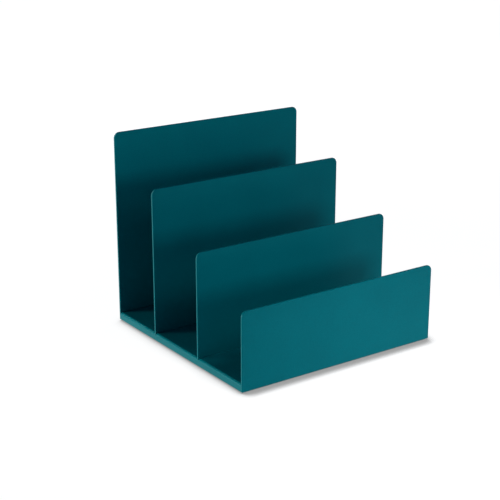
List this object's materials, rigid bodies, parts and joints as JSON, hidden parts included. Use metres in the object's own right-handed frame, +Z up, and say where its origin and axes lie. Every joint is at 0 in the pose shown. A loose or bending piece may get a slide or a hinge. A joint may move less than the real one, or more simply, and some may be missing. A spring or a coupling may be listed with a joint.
{
  "type": "envelope sorter",
  "caption": "Stepped desk sorter of coated sheet steel: open-sided envelope compartments between uprights that rise towards the back, on a raised floor with rubber feet.",
  "frame": {"origin": "middle of the footprint, on the surface that the feet stand on", "axes": "+X along the width, to the right as seen from the low front panel; +Y from the low front panel to the tall back panel; +Z up"},
  "size_m": [0.1906, 0.188, 0.1676],
  "materials": {
    "powder_coat": "satin",
    "foot_rubber": "matte"
  },
  "bodies": {
    "root": {"floor_pan": "powder_coat", "front_panel": "powder_coat", "front_divider": "powder_coat", "rear_divider": "powder_coat", "back_panel": "powder_coat", "foot_front_left": "foot_rubber", "foot_front_right": "foot_rubber", "foot_rear_left": "foot_rubber", "foot_rear_right": "foot_rubber"}
  },
  "joints": []
}
